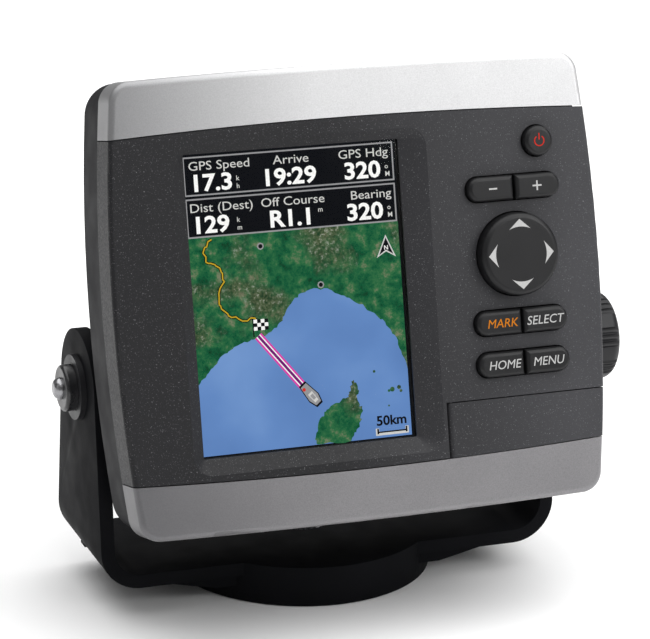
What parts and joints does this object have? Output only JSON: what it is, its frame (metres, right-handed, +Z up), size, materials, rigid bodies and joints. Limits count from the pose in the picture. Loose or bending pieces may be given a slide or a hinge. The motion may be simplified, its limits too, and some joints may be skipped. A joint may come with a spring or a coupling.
{
  "type": "chartplotter display",
  "caption": "Marine chartplotter with a colour screen, rubber keys and a card door, held by a bail bracket on a swivel foot.",
  "frame": {"origin": "where the swivel axis meets the surface the foot is screwed to", "axes": "+Z up along the swivel axis, the screen faces -Y, +X to the right of someone facing the screen"},
  "size_m": [0.1693, 0.1014, 0.1558],
  "materials": {
    "frame_plastic": "fine grained charcoal moulding",
    "silver_paint": "satin silver paint on plastic",
    "housing_plastic": "smooth satin dark grey",
    "bracket_plastic": "satin near-black glass-filled plastic",
    "key_rubber": "matte black silicone",
    "seal_rubber": "soft black",
    "window_glass": "clear bonded glass",
    "panel_glass": "display panel, lit when on",
    "tray_plastic": "plain grey carrier",
    "board_green": "solder-resist green",
    "tin_steel": "tinned sheet",
    "screw_steel": "stainless",
    "brass": "turned",
    "ceramic": "fired ceramic",
    "black_plastic": "moulded black",
    "knob_plastic": "satin dark grey"
  },
  "bodies": {
    "base": {"swivel_base": "bracket_plastic", "foot_gasket": "seal_rubber", "swivel_nut": "brass", "swivel_washer": "screw_steel", "swivel_screw": "screw_steel"},
    "bracket": {"bail_bracket": "bracket_plastic", "left_friction_washer": "black_plastic", "right_friction_washer": "black_plastic", "left_pivot_plate": "knob_plastic", "right_pivot_plate": "knob_plastic"},
    "case": {"antenna_connector": "brass", "antenna_patch": "ceramic", "backup_cell": "screw_steel", "beeper": "black_plastic", "board_screws": "screw_steel", "bottom_trim": "silver_paint", "card_socket": "tin_steel", "connector_contacts": "brass", "display_carrier": "tray_plastic", "display_panel": "panel_glass", "display_window": "window_glass", "dome_switches": "tin_steel", "door_gasket": "seal_rubber", "door_hinge_pin": "screw_steel", "front_frame": "frame_plastic", "housing_gasket": "seal_rubber", "housing_screws": "screw_steel", "keypad_board": "board_green", "keypad_screws": "screw_steel", "left_pivot_cap": "black_plastic", "left_pivot_insert": "brass", "left_pivot_screw": "screw_steel", "main_board": "board_green", "power_connector": "black_plastic", "rear_housing": "housing_plastic", "right_pivot_insert": "brass", "shield_can": "tin_steel", "top_trim": "silver_paint", "vent_plug": "black_plastic", "window_gasket": "seal_rubber"},
    "card_door": {"card_door": "frame_plastic"},
    "knob": {"clamp_knob": "knob_plastic", "knob_stud": "screw_steel"},
    "rocker_gimbal": {"rocker_pivot": "tray_plastic"},
    "rocker": {"rocker_pad": "key_rubber"},
    "zoom_out_key": {"zoom_out_key": "key_rubber"},
    "zoom_in_key": {"zoom_in_key": "key_rubber"},
    "mark_key": {"mark_key": "key_rubber"},
    "select_key": {"select_key": "key_rubber"},
    "home_key": {"home_key": "key_rubber"},
    "menu_key": {"menu_key": "key_rubber"},
    "power_key": {"power_key": "key_rubber"}
  },
  "joints": [
    {"name": "swivel", "type": "hinge", "parent": "base", "child": "bracket", "pos_m": [0, 0, 0.009], "axis": [0, 0, 1], "continuous": true},
    {"name": "tilt", "type": "hinge", "parent": "bracket", "child": "case", "pos_m": [0, -0.0045, 0.061], "axis": [-1, 0, 0], "range_deg": [-8, 45]},
    {"name": "knob_turn", "type": "hinge", "parent": "case", "child": "knob", "pos_m": [0.0685, -0.0045, 0.061], "axis": [1, 0, 0], "continuous": true},
    {"name": "zoom_out_key_press", "type": "slide", "parent": "case", "child": "zoom_out_key", "axis": [0, 0.9648, -0.263], "range_m": [0, 0.0008], "stiffness_N_per_m": 2500},
    {"name": "zoom_in_key_press", "type": "slide", "parent": "case", "child": "zoom_in_key", "axis": [0, 0.9648, -0.263], "range_m": [0, 0.0008], "stiffness_N_per_m": 2500},
    {"name": "mark_key_press", "type": "slide", "parent": "case", "child": "mark_key", "axis": [0, 0.9648, -0.263], "range_m": [0, 0.0008], "stiffness_N_per_m": 2500},
    {"name": "select_key_press", "type": "slide", "parent": "case", "child": "select_key", "axis": [0, 0.9648, -0.263], "range_m": [0, 0.0008], "stiffness_N_per_m": 2500},
    {"name": "home_key_press", "type": "slide", "parent": "case", "child": "home_key", "axis": [0, 0.9648, -0.263], "range_m": [0, 0.0008], "stiffness_N_per_m": 2500},
    {"name": "menu_key_press", "type": "slide", "parent": "case", "child": "menu_key", "axis": [0, 0.9648, -0.263], "range_m": [0, 0.0008], "stiffness_N_per_m": 2500},
    {"name": "power_key_press", "type": "slide", "parent": "case", "child": "power_key", "axis": [0, 0.9648, -0.263], "range_m": [0, 0.0008], "stiffness_N_per_m": 2500},
    {"name": "rocker_up_down", "type": "hinge", "parent": "case", "child": "rocker_gimbal", "pos_m": [0.0455, -0.04288, 0.10194], "axis": [1, 0, 0], "range_deg": [-3, 3], "stiffness_Nm_per_rad": 0.3},
    {"name": "rocker_left_right", "type": "hinge", "parent": "rocker_gimbal", "child": "rocker", "pos_m": [0.0455, -0.04288, 0.10194], "axis": [0, 0.263, 0.9648], "range_deg": [-3, 3], "stiffness_Nm_per_rad": 0.3},
    {"name": "door_swing", "type": "hinge", "parent": "case", "child": "card_door", "pos_m": [0.0239, -0.0559, 0.05687], "axis": [0, -0.263, -0.9648], "range_deg": [0, 95]}
  ]
}
